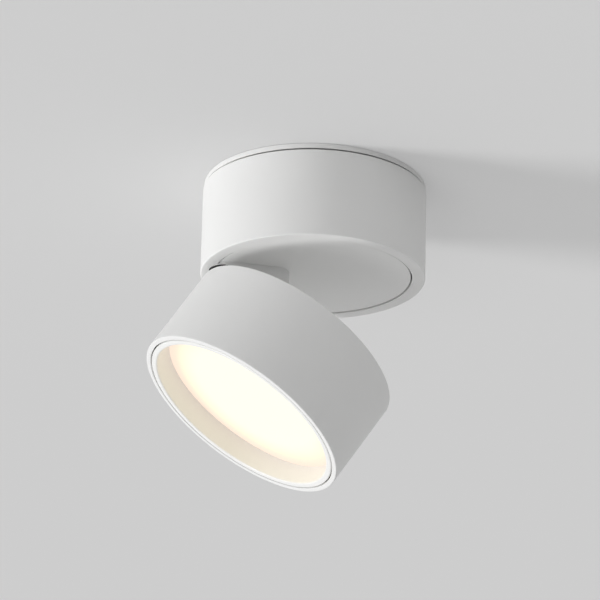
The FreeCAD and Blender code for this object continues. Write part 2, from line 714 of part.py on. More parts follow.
def make_hinge():
    """Knuckle with two ears, its screws, the pin, the nut and the two friction washers."""
    ears = []
    for side, (low, high) in {"front": (f"-{EAR_OUTER}", f"-{EAR_INNER}"),
                              "back": (EAR_INNER, EAR_OUTER)}.items():
        web = plate_along_y(f"ear_{side}_web", [
            ("-knuckle_inner", INNER_BACK), ("-knuckle_inner", f"{INNER_BACK} - knuckle_drop"),
            ("-knuckle_foot", f"{INNER_BACK} - knuckle_drop"), ("-hinge_offset - eye_radius", PIN_HEIGHT),
            ("-hinge_offset + eye_radius", PIN_HEIGHT),
            ("-hinge_offset + eye_radius", INNER_BACK)], low, high)
        lobe = cross_rod(f"ear_{side}_lobe", "eye_radius", low, high, "-hinge_offset", PIN_HEIGHT)
        ears += [web, lobe]
    foot = block("knuckle_base_plate", ("-knuckle_base", "-knuckle_inner"), (f"-{EAR_OUTER}", EAR_OUTER),
                 (f"{INNER_BACK} - knuckle_thickness", INNER_BACK))
    holes = [cross_rod("ear_bore", "pin_radius + seat_gap", f"-{EAR_OUTER}", EAR_OUTER, "-hinge_offset",
                       PIN_HEIGHT)]
    screws = []
    for place in ("knuckle_screw_inner", "knuckle_screw_outer"):
        seat = f"({INNER_BACK} - knuckle_thickness)"
        holes.append(rod(f"{place}_hole", SCREW_HOLE, seat, INNER_BACK, f"(-{place})"))
        screws.append(screw(f"{place}_screw", f"(-{place})", "0", seat,
                            "knuckle_thickness + back_thickness * 2 / 3", -1))
    knuckle = cut("hinge_knuckle", fuse("knuckle_blank", ears + [foot]), holes)
    pin = fuse("hinge_pin", [
        cross_rod("pin_shank", "pin_radius", f"-{EAR_OUTER}", PIN_END, "-hinge_offset", PIN_HEIGHT),
        cross_rod("pin_head", "pin_head_radius", f"-{PIN_END}", f"-{EAR_OUTER}", "-hinge_offset",
                  PIN_HEIGHT)])
    hexagon = add("Part::Prism", "hinge_nut_hexagon", Circumradius="pin_head_radius",
                  Height="pin_head_height")
    hexagon.Polygon = 6
    hexagon.Placement.Rotation = FreeCAD.Rotation(FreeCAD.Vector(1, 0, 0), -90)
    bind(hexagon, at_x="-hinge_offset", at_y=EAR_OUTER, at_z=PIN_HEIGHT)
    nut = cut("hinge_nut", hexagon, [cross_rod("hinge_nut_bore", "pin_radius + seat_gap", EAR_OUTER, PIN_END,
                                               "-hinge_offset", PIN_HEIGHT)])
    washers = []
    inside = f"({EAR_INNER} - washer_thickness)"
    for side, (low, high) in {"front": (f"-{EAR_INNER}", f"-{inside}"), "back": (inside, EAR_INNER)}.items():
        disc = cross_rod(f"washer_{side}_disc", "washer_radius", low, high, "-hinge_offset", PIN_HEIGHT)
        hole = cross_rod(f"washer_{side}_hole", "pin_radius + seat_gap", low, high, "-hinge_offset",
                         PIN_HEIGHT)
        washers.append(cut(f"washer_{side}", disc, [hole]))
    return [knuckle, group("knuckle_screws", screws), pin, nut, group("friction_washers", washers)]


def on_circle(circle, angle):
    return f"({circle} * cos({angle}))", f"({circle} * sin({angle}))"


GROOVE_TOP = depth("head_height - hook_depth - hook_height - groove_gap")
GROOVE_UNDER = depth("head_height - hook_depth + groove_gap")


def make_head_housing():
    groove = "(head_bore + groove_depth)"
    cup = turned("head_casting", [
        ("0", HEAD_BACK), ("drum_radius", HEAD_BACK), ("drum_radius", HEAD_FRONT), ("head_bore", HEAD_FRONT),
        ("head_bore", GROOVE_UNDER), (groove, GROOVE_UNDER), (groove, GROOVE_TOP), ("head_bore", GROOVE_TOP),
        ("head_bore", INNER_BACK), ("0", INNER_BACK)])
    round_rims(cup, "head_edges", [("drum_radius", HEAD_BACK), ("drum_radius", HEAD_FRONT)], "edge_round")
    round_rims(cup, "head_fine_edge", [("head_bore", HEAD_FRONT)], "fine_round")
    posts = []
    reach = "(eye_radius + hinge_slot_gap)"
    side = f"({PIN_END} + hinge_slot_gap)"
    holes = [block("hinge_slot", (f"-hinge_offset - {reach}", f"-hinge_offset + {reach}"), (f"-{side}", side),
                   (INNER_BACK, HEAD_BACK))]
    for angle in THIRDS:
        x, y = on_circle("post_circle", angle)
        posts.append(rod(f"post_{angle}", "post_radius", SINK_TOP, f"({INNER_BACK} + fine_round)", x, y))
        holes.append(rod(f"post_hole_{angle}", SCREW_HOLE, SINK_TOP, f"({SINK_TOP} + foot_height * 2)", x, y))
    for place in ("knuckle_screw_inner", "knuckle_screw_outer"):
        blind = f"({INNER_BACK} + back_thickness * 2 / 3 + joint_gap)"
        holes.append(rod(f"back_{place}_hole", SCREW_HOLE, INNER_BACK, blind, f"(-{place})"))
    return cut("head_housing", fuse("head_with_posts", [cup] + posts), holes)


def make_heat_sink():
    disc = rod("sink_disc", "sink_radius", SINK_UNDER, SINK_TOP)
    rows = int(number("fin_circle") // number("fin_pitch"))
    fins = [block(f"sink_fin_{row + rows}", (f"{row} * fin_pitch - fin_thickness / 2",
                                             f"{row} * fin_pitch + fin_thickness / 2"),
                  (f"-sqrt(fin_circle ^ 2 - ({row} * fin_pitch) ^ 2)",
                   f"sqrt(fin_circle ^ 2 - ({row} * fin_pitch) ^ 2)"),
                  (f"{SINK_TOP} - sink_thickness / 2", depth("fin_top"))) for row in range(-rows, rows + 1)]
    holes = [rod("sink_wire_hole", "wire_hole_radius", SINK_UNDER, SINK_TOP, "(-wire_hole_offset)")]
    screws = []
    for angle in THIRDS:
        x, y = on_circle("post_circle", angle)
        holes.append(rod(f"sink_hole_{angle}", SCREW_HOLE, SINK_UNDER, SINK_TOP, x, y))
        screws.append(screw(f"sink_screw_{angle}", x, y, SINK_UNDER,
                            "sink_thickness + foot_height * 2 - joint_gap",
                            -1))
        x, y = on_circle("board_screw_circle", angle)
        holes.append(rod(f"sink_board_hole_{angle}", SCREW_HOLE, SINK_UNDER, SINK_TOP, x, y))
    return [cut("heat_sink", fuse("sink_with_fins", [disc] + fins), holes), group("sink_screws", screws)]


def make_light_source():
    """Thermal pad, LED board with its packages and plug, and the board's screws."""
    layers = []
    for label, radius, low, high in (("thermal_pad", "pad_radius", PAD_UNDER, SINK_UNDER),
                                     ("led_board", "board_radius", BOARD_UNDER, PAD_UNDER)):
        holes = [rod(f"{label}_wire_hole", "wire_hole_radius", low, high, "(-wire_hole_offset)")]
        for angle in THIRDS:
            x, y = on_circle("board_screw_circle", angle)
            holes.append(rod(f"{label}_hole_{angle}", SCREW_HOLE, low, high, x, y))
        layers.append(cut(label, rod(f"{label}_disc", radius, low, high), holes))
    screws = []
    for angle in THIRDS:
        x, y = on_circle("board_screw_circle", angle)
        screws.append(screw(f"board_screw_{angle}", x, y, BOARD_UNDER,
                            "board_thickness + pad_thickness + sink_thickness", -1))
    leds = []
    for ring in LED_RINGS:
        for index in range(ring * LEDS_PER_RING):
            x, y = on_circle(f"{ring} * led_pitch", 360 / (ring * LEDS_PER_RING) * index)
            name = f"led_{ring}_{index}"
            leds.append(block(name, (f"{x} - led_length / 2", f"{x} + led_length / 2"),
                              (f"{y} - led_width / 2", f"{y} + led_width / 2"),
                              (f"{BOARD_UNDER} - led_height", BOARD_UNDER)))
    plug = block("board_plug", ("-plug_offset - plug_length / 2", "-plug_offset + plug_length / 2"),
                 ("-plug_width / 2", "plug_width / 2"), (f"{BOARD_UNDER} - plug_height", BOARD_UNDER))
    return layers + [group("led_packages", leds), plug, group("board_screws", screws)]


def make_inner_reflector():
    foot_under = f"({SINK_UNDER} - foot_height)"
    flange_top = f"({DIFFUSER_TOP} + reflector_wall)"
    return turned("inner_reflector", [
        ("foot_radius", SINK_UNDER), ("foot_radius + reflector_wall", SINK_UNDER),
        ("foot_radius + reflector_wall", foot_under), ("cone_radius + reflector_wall", flange_top),
        ("reflector_flange", flange_top), ("reflector_flange", DIFFUSER_TOP), ("cone_radius", DIFFUSER_TOP),
        ("cone_radius", flange_top), ("foot_radius", foot_under)])


def make_trim_ring():
    wall = "(opening_radius + ring_wall)"
    back_of_face = f"({HEAD_FRONT} + ring_face)"
    ring = turned("ring_moulding", [
        ("opening_radius", HEAD_FRONT), ("ring_radius", HEAD_FRONT), ("ring_radius", back_of_face),
        (wall, back_of_face), (wall, LIGHT_FACE), ("opening_radius", LIGHT_FACE)])
    round_rims(ring, "ring_inner_edge", [("opening_radius", HEAD_FRONT)], "ring_round")
    round_rims(ring, "ring_outer_edge", [("ring_radius", HEAD_FRONT)], "edge_round")
    low = depth("head_height - hook_depth")
    high = f"({low} + hook_height)"
    hooks = [sector(f"ring_hook_{angle}", "opening_radius + ring_wall / 2", "head_bore + hook_length", low,
                    high,
                    angle + 60, "hook_angle") for angle in THIRDS]
    return fuse("trim_ring", [ring] + hooks)


def swing_down(item):
    """Place a folded head piece at its resting tilt about the hinge pin."""
    pin = f"create(<<vector>>; -hinge_offset; 0; {PIN_HEIGHT})"
    turn = "create(<<rotation>>; create(<<vector>>; 0; 1; 0); rest_tilt)"
    item.setExpression("Placement",
                       in_sheet(f"create(<<placement>>; create(<<vector>>; 0; 0; 0); {turn}; {pin})"))
    return item


base = [make_ceiling_plate(), make_cable_grommet(), make_base_housing()]
base += make_cord_clamp() + make_driver() + make_terminals()
rotor = make_pan_bearing() + [make_rotary_plate()] + make_hinge_bracket()
head = make_hinge() + [make_head_housing()] + make_heat_sink() + make_light_source()
head += [make_inner_reflector(), rod("diffuser", "diffuser_radius", LIGHT_FACE, DIFFUSER_TOP),
         make_trim_ring()]
doc.recompute()
head = [swing_down(group(item.Label + "_swung", [item])) for item in head]
doc.recompute()

for item in doc.Objects:
    bad = [word for word in item.State if word in ("Invalid", "Error")]
    if bad:
        raise RuntimeError(f"{item.Label} is {bad}")

os.makedirs("parts", exist_ok=True)
for item in base + rotor + head:
    shape = item.Shape
    if shape.isNull() or not shape.isValid():
        raise RuntimeError(f"{item.Label} has no valid shape")
    node = item.Label.removesuffix("_swung")
    shape.exportStep(f"parts/{node}.step")
    print(f"{node}: {len(shape.Solids)} solids, {shape.Volume:.1f} mm3")
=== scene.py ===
import json
import math
import bmesh
import bpy
import numpy as np
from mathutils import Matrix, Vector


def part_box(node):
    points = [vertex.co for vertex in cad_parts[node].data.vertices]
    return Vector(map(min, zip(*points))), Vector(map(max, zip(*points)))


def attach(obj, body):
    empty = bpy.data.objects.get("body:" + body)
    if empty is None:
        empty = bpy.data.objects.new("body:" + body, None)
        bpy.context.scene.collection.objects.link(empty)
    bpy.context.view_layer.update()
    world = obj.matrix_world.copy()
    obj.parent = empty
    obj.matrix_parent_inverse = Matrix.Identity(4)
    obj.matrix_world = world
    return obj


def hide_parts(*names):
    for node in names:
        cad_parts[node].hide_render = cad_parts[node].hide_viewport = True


# Folding ceiling spotlight. Sizes in the dictionaries are millimetres, meshes are metres, and the origin is
# the middle of the face on the ceiling with +Z up. The frame's moving parts give the hinge and its angles.

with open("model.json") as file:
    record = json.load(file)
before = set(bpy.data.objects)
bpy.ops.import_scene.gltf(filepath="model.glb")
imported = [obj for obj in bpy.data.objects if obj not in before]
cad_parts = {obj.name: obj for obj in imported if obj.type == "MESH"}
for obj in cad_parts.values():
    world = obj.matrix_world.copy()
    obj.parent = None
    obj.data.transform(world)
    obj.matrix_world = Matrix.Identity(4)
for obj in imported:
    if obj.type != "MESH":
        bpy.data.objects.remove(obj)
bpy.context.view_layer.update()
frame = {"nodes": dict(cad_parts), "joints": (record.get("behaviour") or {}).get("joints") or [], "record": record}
perMetre = 1000.0


def boxOf(node):
    low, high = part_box(node)
    return np.array(low) * perMetre, np.array(high) * perMetre


joints = {joint["name"]: joint for joint in frame["joints"]}
slotOf = {part["node"]: part["material_slot"] for part in frame["record"]["subparts"]}
housingLow, housingHigh = boxOf("base_housing")
plateLow, plateHigh = boxOf("ceiling_plate")

drum = {
    "radius": housingHigh[0],
    "rim": housingLow[2],
    "top": housingHigh[2],
    "edgeRound": 0.6,
    "fineRound": 0.3,
    "seamRound": 0.12,
}
hinge = {
    "pin": np.array(joints["tilt"]["pos_m"]) * perMetre,
    "restTilt": -math.radians(joints["tilt"]["range_deg"][0]),
    "foldGap": 9.4,
}
headBack = drum["rim"] - hinge["foldGap"]
screwHole = 1.45
smallRound = 0.2    # breaks edges inside the lamp
past, hair = 1.0, 0.01    # how far a cutter runs past a face, and the step that keeps it from lying in one
thirds = (0, 120, 240)
sharpAngle = math.radians(35)
drumSteps, smallSteps, partSteps = 288, 48, 24    # points round a drum, round a hole or post, along an arc
joinWithin = 1e-7    # metres, for points that fall together


# Grids and outlines

def roundedOutline(corners, closed):
    # A corner is radius, height and rounding. It becomes the arc tangent to both its sides, with a point a
    # little way out on each side, and an open outline keeps its two ends as they are.
    arcSteps, support, sideParts = 7, 0.25, 5
    given = np.array(corners, float)
    here, rounding = given[:, :2], given[:, 2:3]
    toBefore, toAfter = np.roll(here, 1, 0) - here, np.roll(here, -1, 0) - here
    lengths = [np.linalg.norm(side, axis=1, keepdims=True) for side in (toBefore, toAfter)]
    toBefore, toAfter = toBefore / lengths[0], toAfter / lengths[1]
    half = np.arccos(np.clip((toBefore * toAfter).sum(1, keepdims=True), -1, 1)) / 2
    reach = rounding / np.tan(half)
    centre = here + (toBefore + toAfter) / (2 * np.cos(half)) * rounding / np.sin(half)
    start, end = here + toBefore * reach, here + toAfter * reach
    sweep = (np.pi - 2 * half)[None]
    share = np.linspace(0, 1, arcSteps + 1)[:, None, None]
    arc = centre + (np.sin((1 - share) * sweep) * (start - centre)
                    + np.sin(share * sweep) * (end - centre)) / np.sin(sweep)
    steps = [np.minimum(support, length / sideParts) for length in lengths]
    rows = np.concatenate([[start + toBefore * steps[0]], arc, [end + toAfter * steps[1]]])
    points = rows.transpose(1, 0, 2)
    if closed:
        return points.reshape(-1, 2)
    return np.concatenate([here[:1], points[1:-1].reshape(-1, 2), here[-1:]])


def gridFaces(rows, columns, wrapRows, wrapColumns):
    # Quads between each point of the grid, the next one along and the two after them.
    row, column = np.meshgrid(np.arange(rows - (not wrapRows)), np.arange(columns - (not wrapColumns)),
                              indexing="ij")
    nextRow, nextColumn = (row + 1) % rows, (column + 1) % columns
    quads = [row * columns + column, nextRow * columns + column, nextRow * columns + nextColumn,
             row * columns + nextColumn]
    return np.stack(quads, -1).reshape(-1, 4)


def outward(shell):
    # The volume is a sixth of the sum of each triangle's corners' triple product. Below zero, faces turn.
    points, faces = shell
    a, b, c, d = (points[faces[:, index]] for index in range(4))
    volume = (a * np.cross(b, c)).sum() + (a * np.cross(c, d)).sum()
    return (points, faces if volume > 0 else faces[:, ::-1])


def turned(corners, closed=True, steps=drumSteps, centre=(0, 0)):
    # Radius r and height z of the outline go round to r cos u, r sin u, z about an upright axis.
    outline = roundedOutline(corners, closed)
    angle = np.linspace(0, 2 * np.pi, steps, endpoint=False)
    radius, height = outline[:, :1], outline[:, 1:]
    points = np.stack([radius * np.cos(angle) + centre[0], radius * np.sin(angle) + centre[1],
                       height + 0 * angle], -1)
    return outward((points.reshape(-1, 3), gridFaces(len(outline), steps, closed, True)))


def ringPiece(inner, outer, low, high, middle, sweep):
    # A rectangle of radius and height that goes through part of a turn, with a cap on each end.
    angle = np.radians(np.linspace(middle - sweep / 2, middle + sweep / 2, partSteps))
    corners = np.array([(inner, low), (outer, low), (outer, high), (inner, high)])
    points = np.stack([corners[:, :1] * np.cos(angle), corners[:, :1] * np.sin(angle),
                       corners[:, 1:] + 0 * angle], -1)
    first = np.arange(4) * partSteps
    faces = np.concatenate([gridFaces(4, partSteps, True, False), [first, first[::-1] + partSteps - 1]])
    return outward((points.reshape(-1, 3), faces))


def box(x, y, z):
    # Every pairing of the two x, the two y and the two z is a corner, and four corners make each side.
    corner = np.array(np.meshgrid(x, y, z, indexing="ij")).reshape(3, 8).T
    faces = np.array([(0, 1, 3, 2), (4, 6, 7, 5), (0, 4, 5, 1), (2, 3, 7, 6), (0, 2, 6, 4), (1, 5, 7, 3)])
    return outward((corner.astype(float), faces))


def rod(radius, low, high, centre=(0, 0)):
    # A rectangle from the axis out to the radius, turned into an upright cylinder.
    return turned([(0, low, 0), (radius, low, 0), (radius, high, 0), (0, high, 0)], False, smallSteps,
                  centre)


def stadium(width, length, low, high, x):
    # Two half circles joined by straight sides, carried up from low to high.
    angle = np.linspace(-np.pi / 2, np.pi / 2, partSteps)
    reach = (length - width) / 2
    side = np.stack([np.cos(angle) * width / 2 + reach, np.sin(angle) * width / 2], -1)
    outline = np.concatenate([side, -side]) + (x, 0)
    levels = np.array([low, high], float)[:, None]
    wall = np.concatenate([np.broadcast_to(outline, (2, *outline.shape)),
                           np.broadcast_to(levels[..., None], (2, len(outline), 1))], -1)
    middles = np.broadcast_to(np.array([(x, 0, low), (x, 0, high)])[:, None], (2, len(outline), 3))
    points = np.concatenate([middles[:1], wall, middles[1:]])
    return outward((points.reshape(-1, 3), gridFaces(4, len(outline), False, True)))


def swung(points):
    # Turned about the hinge pin from folded flat to the resting tilt.
    cosine, sine = math.cos(hinge["restTilt"]), math.sin(hinge["restTilt"])
    turn = np.array([(cosine, 0, sine), (0, 1, 0), (-sine, 0, cosine)])
    return (points - hinge["pin"]) @ turn.T + hinge["pin"]


# Meshes and pieces

def meshFrom(name, shells, placed=None):
    starts = np.cumsum([0] + [len(points) for points, _ in shells[:-1]])
    points = np.concatenate([points for points, _ in shells])
    faces = np.concatenate([faces + start for (_, faces), start in zip(shells, starts)])
    if placed:
        points = placed(points)
    mesh = bpy.data.meshes.new(name)
    mesh.from_pydata((points / perMetre).tolist(), [], faces.tolist())
    tidy = bmesh.new()
    tidy.from_mesh(mesh)
    bmesh.ops.remove_doubles(tidy, verts=tidy.verts, dist=joinWithin)
    tidy.to_mesh(mesh)
    tidy.free()
    return mesh


def shown(name, mesh):
    piece = bpy.data.objects.new(name, mesh)
    bpy.context.scene.collection.objects.link(piece)
    return piece


def baked(piece):
    # The mesh that the modifiers make takes the place of the first one.
    bpy.context.view_layer.update()
    graph = bpy.context.evaluated_depsgraph_get()
    piece.data = bpy.data.meshes.new_from_object(piece.evaluated_get(graph))
    piece.modifiers.clear()


def combined(piece, operation, shells, placed=None):
    tool = shown("tool", meshFrom("tool", shells, placed))
    modifier = piece.modifiers.new("shape", "BOOLEAN")
    modifier.operation, modifier.solver, modifier.object = operation, "EXACT", tool
    baked(piece)
    bpy.data.objects.remove(tool)


def finished(piece, body, node):
    # Smooth over small angles, on its body, in its node's slot and in place of its node.
    piece.data.shade_smooth()
    piece.data.set_sharp_from_angle(angle=sharpAngle)
    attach(piece, body)
    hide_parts(node)
    piece.data.materials.clear()
    piece.data.materials.append(finishes[slotOf[node]])
    print(f"{piece.name}: {len(piece.data.polygons)} faces")


def softened(node, name, width, body):
    # The node's own shape, joined up, with every sharp edge broken by a small rounding.
    edges = {"joinWithin": 1e-6, "flatWithin": 0.5, "sharperThan": 40, "segments": 3}
    piece = shown(name, frame["nodes"][node].data.copy())
    joined = bmesh.new()
    joined.from_mesh(piece.data)
    bmesh.ops.remove_doubles(joined, verts=joined.verts, dist=edges["joinWithin"])
    bmesh.ops.dissolve_limit(joined, angle_limit=math.radians(edges["flatWithin"]), verts=joined.verts,
                             edges=joined.edges)
    joined.to_mesh(piece.data)
    joined.free()
    bevel = piece.modifiers.new("edges", "BEVEL")
    bevel.width, bevel.segments = width / perMetre, edges["segments"]
    bevel.limit_method, bevel.angle_limit = "ANGLE", math.radians(edges["sharperThan"])
    baked(piece)
    finished(piece, body, node)


# Finishes

def linear(colour):
    # sRGB hex to linear: below 0.04045 a twelfth and a bit, above it the power 2.4.
    shares = [int(colour[place:place + 2], 16) / 255 for place in (1, 3, 5)]
    return [share / 12.92 if share <= 0.04045 else ((share + 0.055) / 1.055) ** 2.4
            for share in shares] + [1]


def addNode(tree, kind, settings=None, links=None):
    node = tree.nodes.new(kind)
    for name, value in (settings or {}).items():
        if isinstance(name, str) and hasattr(node, name):
            setattr(node, name, value)
        else:
            node.inputs[name].default_value = value
    for name, source in (links or {}).items():
        tree.links.new(source, node.inputs[name])
    return node


def newFinish(name, **settings):
    material = bpy.data.materials.new(name)
    material.use_nodes = True
    tree = material.node_tree
    shader = tree.nodes["Principled BSDF"]
    for socket, value in settings.items():
        shader.inputs[socket].default_value = value
    place = addNode(tree, "ShaderNodeTexCoord").outputs["Object"]
    return material, tree, shader, place


def mottled(tree, shader, place, look):
    # Colour drifts between two tones over one size, and a finer noise lifts and roughens the surface.
    drift = addNode(tree, "ShaderNodeTexNoise", {"Scale": perMetre / look["driftMm"], "Detail": 2.0},
                    {"Vector": place})
    grain = addNode(tree, "ShaderNodeTexNoise",
                    {"Scale": perMetre / look["grainMm"], "Detail": 4.0, "Roughness": 0.6},
                    {"Vector": place})
    tone = addNode(tree, "ShaderNodeMix",
                   {"data_type": "RGBA", 6: linear(look["dark"]), 7: linear(look["pale"])},
                   {0: drift.outputs["Fac"]})
    tree.links.new(tone.outputs[2], shader.inputs["Base Color"])
    rough = addNode(tree, "ShaderNodeMapRange", {"To Min": look["rough"][0], "To Max": look["rough"][1]},
                    {"Value": grain.outputs["Fac"]})
    tree.links.new(rough.outputs["Result"], shader.inputs["Roughness"])
    lift = addNode(tree, "ShaderNodeBump", {"Strength": look["lift"], "Distance": look["liftMm"] / perMetre},
                   {"Height": grain.outputs["Fac"]})
    tree.links.new(lift.outputs["Normal"], shader.inputs["Normal"])


def plainFinish(name, look, **settings):
    material, tree, shader, place = newFinish(name, **settings)
    mottled(tree, shader, place, look)
    return material


def opalPlastic():
    # Opal acrylic lit from behind: even and warm, with its glow a little darker and warmer over the outer third of
    # its radius.
    look = {"middle": "#FFF2CE", "edge": "#DDC9B8", "edgeStart": 32.0, "edgeEnd": 49.0, "strength": 1.25}
    material, tree, shader, place = newFinish("litOpalAcrylic", IOR=1.49)
    mottled(tree, shader, place, {"dark": "#4E4D4A", "pale": "#52514D", "driftMm": 12, "grainMm": 0.6,
                                  "rough": (0.35, 0.45), "lift": 0.1, "liftMm": 0.01})
    centre = swung(np.array([(0.0, 0.0, headBack)]))[0] / perMetre
    centred = addNode(tree, "ShaderNodeMapping", {"vector_type": "TEXTURE", "Location": centre,
                                                  "Rotation": (0, hinge["restTilt"], 0)}, {"Vector": place})
    flat = addNode(tree, "ShaderNodeVectorMath", {"operation": "MULTIPLY", 1: (1, 1, 0)},
                   {0: centred.outputs["Vector"]})
    radius = addNode(tree, "ShaderNodeVectorMath", {"operation": "LENGTH"}, {0: flat.outputs["Vector"]})
    share = addNode(tree, "ShaderNodeMapRange",
                    {"interpolation_type": "SMOOTHSTEP", "From Min": look["edgeStart"] / perMetre,
                     "From Max": look["edgeEnd"] / perMetre}, {"Value": radius.outputs["Value"]})
    glow = addNode(tree, "ShaderNodeMix", {"data_type": "RGBA", 6: linear(look["middle"]),
                                           7: linear(look["edge"])}, {0: share.outputs["Result"]})
    tree.links.new(glow.outputs[2], shader.inputs["Emission Color"])
    shader.inputs["Emission Strength"].default_value = look["strength"]
    return material


def brushed(name, look, **settings):
    # A metal whose noise is drawn out along X, as a brush or a lathe leaves it.
    drawnOut = (0.08, 1.0, 1.0)
    material, tree, shader, place = newFinish(name, Metallic=1.0, **settings)
    drawn = addNode(tree, "ShaderNodeMapping", {"Scale": drawnOut}, {"Vector": place})
    mottled(tree, shader, drawn.outputs["Vector"], look)
    return material


finishes = {
    # aluminium with a baked white polyester powder coat: matt, with a faint orange peel drawn a little
    # coarser than the real half millimetre so that it shows close up
    "white_coat": plainFinish("whitePowderCoat", {
        "dark": "#EBEBEA", "pale": "#EFEFEE", "driftMm": 30, "grainMm": 0.8, "rough": (0.5, 0.62),
        "lift": 0.25, "liftMm": 0.02}, IOR=1.5),
    # moulded white polycarbonate: smoother than the coat, with a soft shine on its rounded edges
    "white_plastic": plainFinish("whitePolycarbonate", {
        "dark": "#F1F1EF", "pale": "#F5F5F3", "driftMm": 20, "grainMm": 0.5, "rough": (0.32, 0.4),
        "lift": 0.15, "liftMm": 0.01}, IOR=1.585),
    "opal_plastic": opalPlastic(),
    # moulded rubber: dull, almost black, faintly dusty; on the hinge pad the same near black is painted shadow
    "grommet_rubber": plainFinish("blackRubberAndPaintedShadow", {
        "dark": "#1B1B1C", "pale": "#262627", "driftMm": 6, "grainMm": 0.4, "rough": (0.7, 0.85),
        "lift": 0.3, "liftMm": 0.03}, IOR=1.52),
    # bright zinc on turned or pressed steel: cool grey with fine lines
    "zinc_steel": brushed("zincPlatedSteel", {
        "dark": "#A9ACB0", "pale": "#BEC1C4", "driftMm": 3, "grainMm": 0.25, "rough": (0.28, 0.42),
        "lift": 0.12, "liftMm": 0.01}),
    # blued spring steel
    "spring_steel": brushed("springSteel", {
        "dark": "#5E6066", "pale": "#74767C", "driftMm": 3, "grainMm": 0.25, "rough": (0.3, 0.45),
        "lift": 0.1, "liftMm": 0.01}),
    # turned brass of the clamp screws: warm, with fine lathe lines
    "brass": brushed("turnedBrass", {
        "dark": "#B79A4E", "pale": "#CDB163", "driftMm": 2, "grainMm": 0.2, "rough": (0.25, 0.4),
        "lift": 0.12, "liftMm": 0.01}),
    # natural nylon: milky, with a soft sheen
    "nylon": plainFinish("naturalNylon", {
        "dark": "#DAD7CC", "pale": "#E3E0D6", "driftMm": 8, "grainMm": 0.4, "rough": (0.42, 0.52),
        "lift": 0.15, "liftMm": 0.02}, IOR=1.53),
    # grey moulded case of the driver, spark-eroded texture
    "driver_plastic": plainFinish("greyCasePlastic", {
        "dark": "#C7C8C9", "pale": "#D0D1D2", "driftMm": 15, "grainMm": 0.5, "rough": (0.5, 0.62),
        "lift": 0.3, "liftMm": 0.03}, IOR=1.55),
    # green solder mask over glass weave
    "circuit_board": plainFinish("greenCircuitBoard", {
        "dark": "#1F5134", "pale": "#2A6240", "driftMm": 4, "grainMm": 0.6, "rough": (0.3, 0.42),
        "lift": 0.2, "liftMm": 0.02}, IOR=1.55),
    # yellow tape round a ferrite core
    "transformer_core": plainFinish("yellowTapedCore", {
        "dark": "#B99A3A", "pale": "#CDB04E", "driftMm": 3, "grainMm": 0.5, "rough": (0.35, 0.5),
        "lift": 0.15, "liftMm": 0.02}, IOR=1.5),
    # shrunk plastic sleeve round each can: smooth, with a little shine
    "capacitor_sleeve": plainFinish("blackShrinkSleeve", {
        "dark": "#1D2126", "pale": "#2A2F36", "driftMm": 3, "grainMm": 0.4, "rough": (0.3, 0.4),
        "lift": 0.1, "liftMm": 0.01}, IOR=1.54),
    # die-cast fins, bare
    "bare_aluminium": brushed("bareAluminium", {
        "dark": "#BFC1C3", "pale": "#D2D4D6", "driftMm": 5, "grainMm": 0.35, "rough": (0.35, 0.5),
        "lift": 0.15, "liftMm": 0.02}),
    # white solder mask on the LED board
    "board_white": plainFinish("whiteSolderMask", {
        "dark": "#E4E5E3", "pale": "#EEEFED", "driftMm": 5, "grainMm": 0.4, "rough": (0.3, 0.4),
        "lift": 0.1, "liftMm": 0.01}, IOR=1.5),
    # yellow phosphor gel in the LED packages
    "phosphor": plainFinish("ledPhosphor", {
        "dark": "#D9B23A", "pale": "#E8C653", "driftMm": 1, "grainMm": 0.3, "rough": (0.3, 0.4),
        "lift": 0.1, "liftMm": 0.01}, IOR=1.41),
    # filled silicone pad: soft and dull
    "thermal_pad": plainFinish("greyThermalPad", {
        "dark": "#8F949A", "pale": "#9DA2A8", "driftMm": 4, "grainMm": 0.4, "rough": (0.7, 0.8),
        "lift": 0.25, "liftMm": 0.03}, IOR=1.43),
}
for nodeName, nodeObject in frame["nodes"].items():
    for slot in nodeObject.material_slots:
        slot.material = finishes[slotOf[nodeName]]
print(f"finishes: {len(finishes)}")


# Base

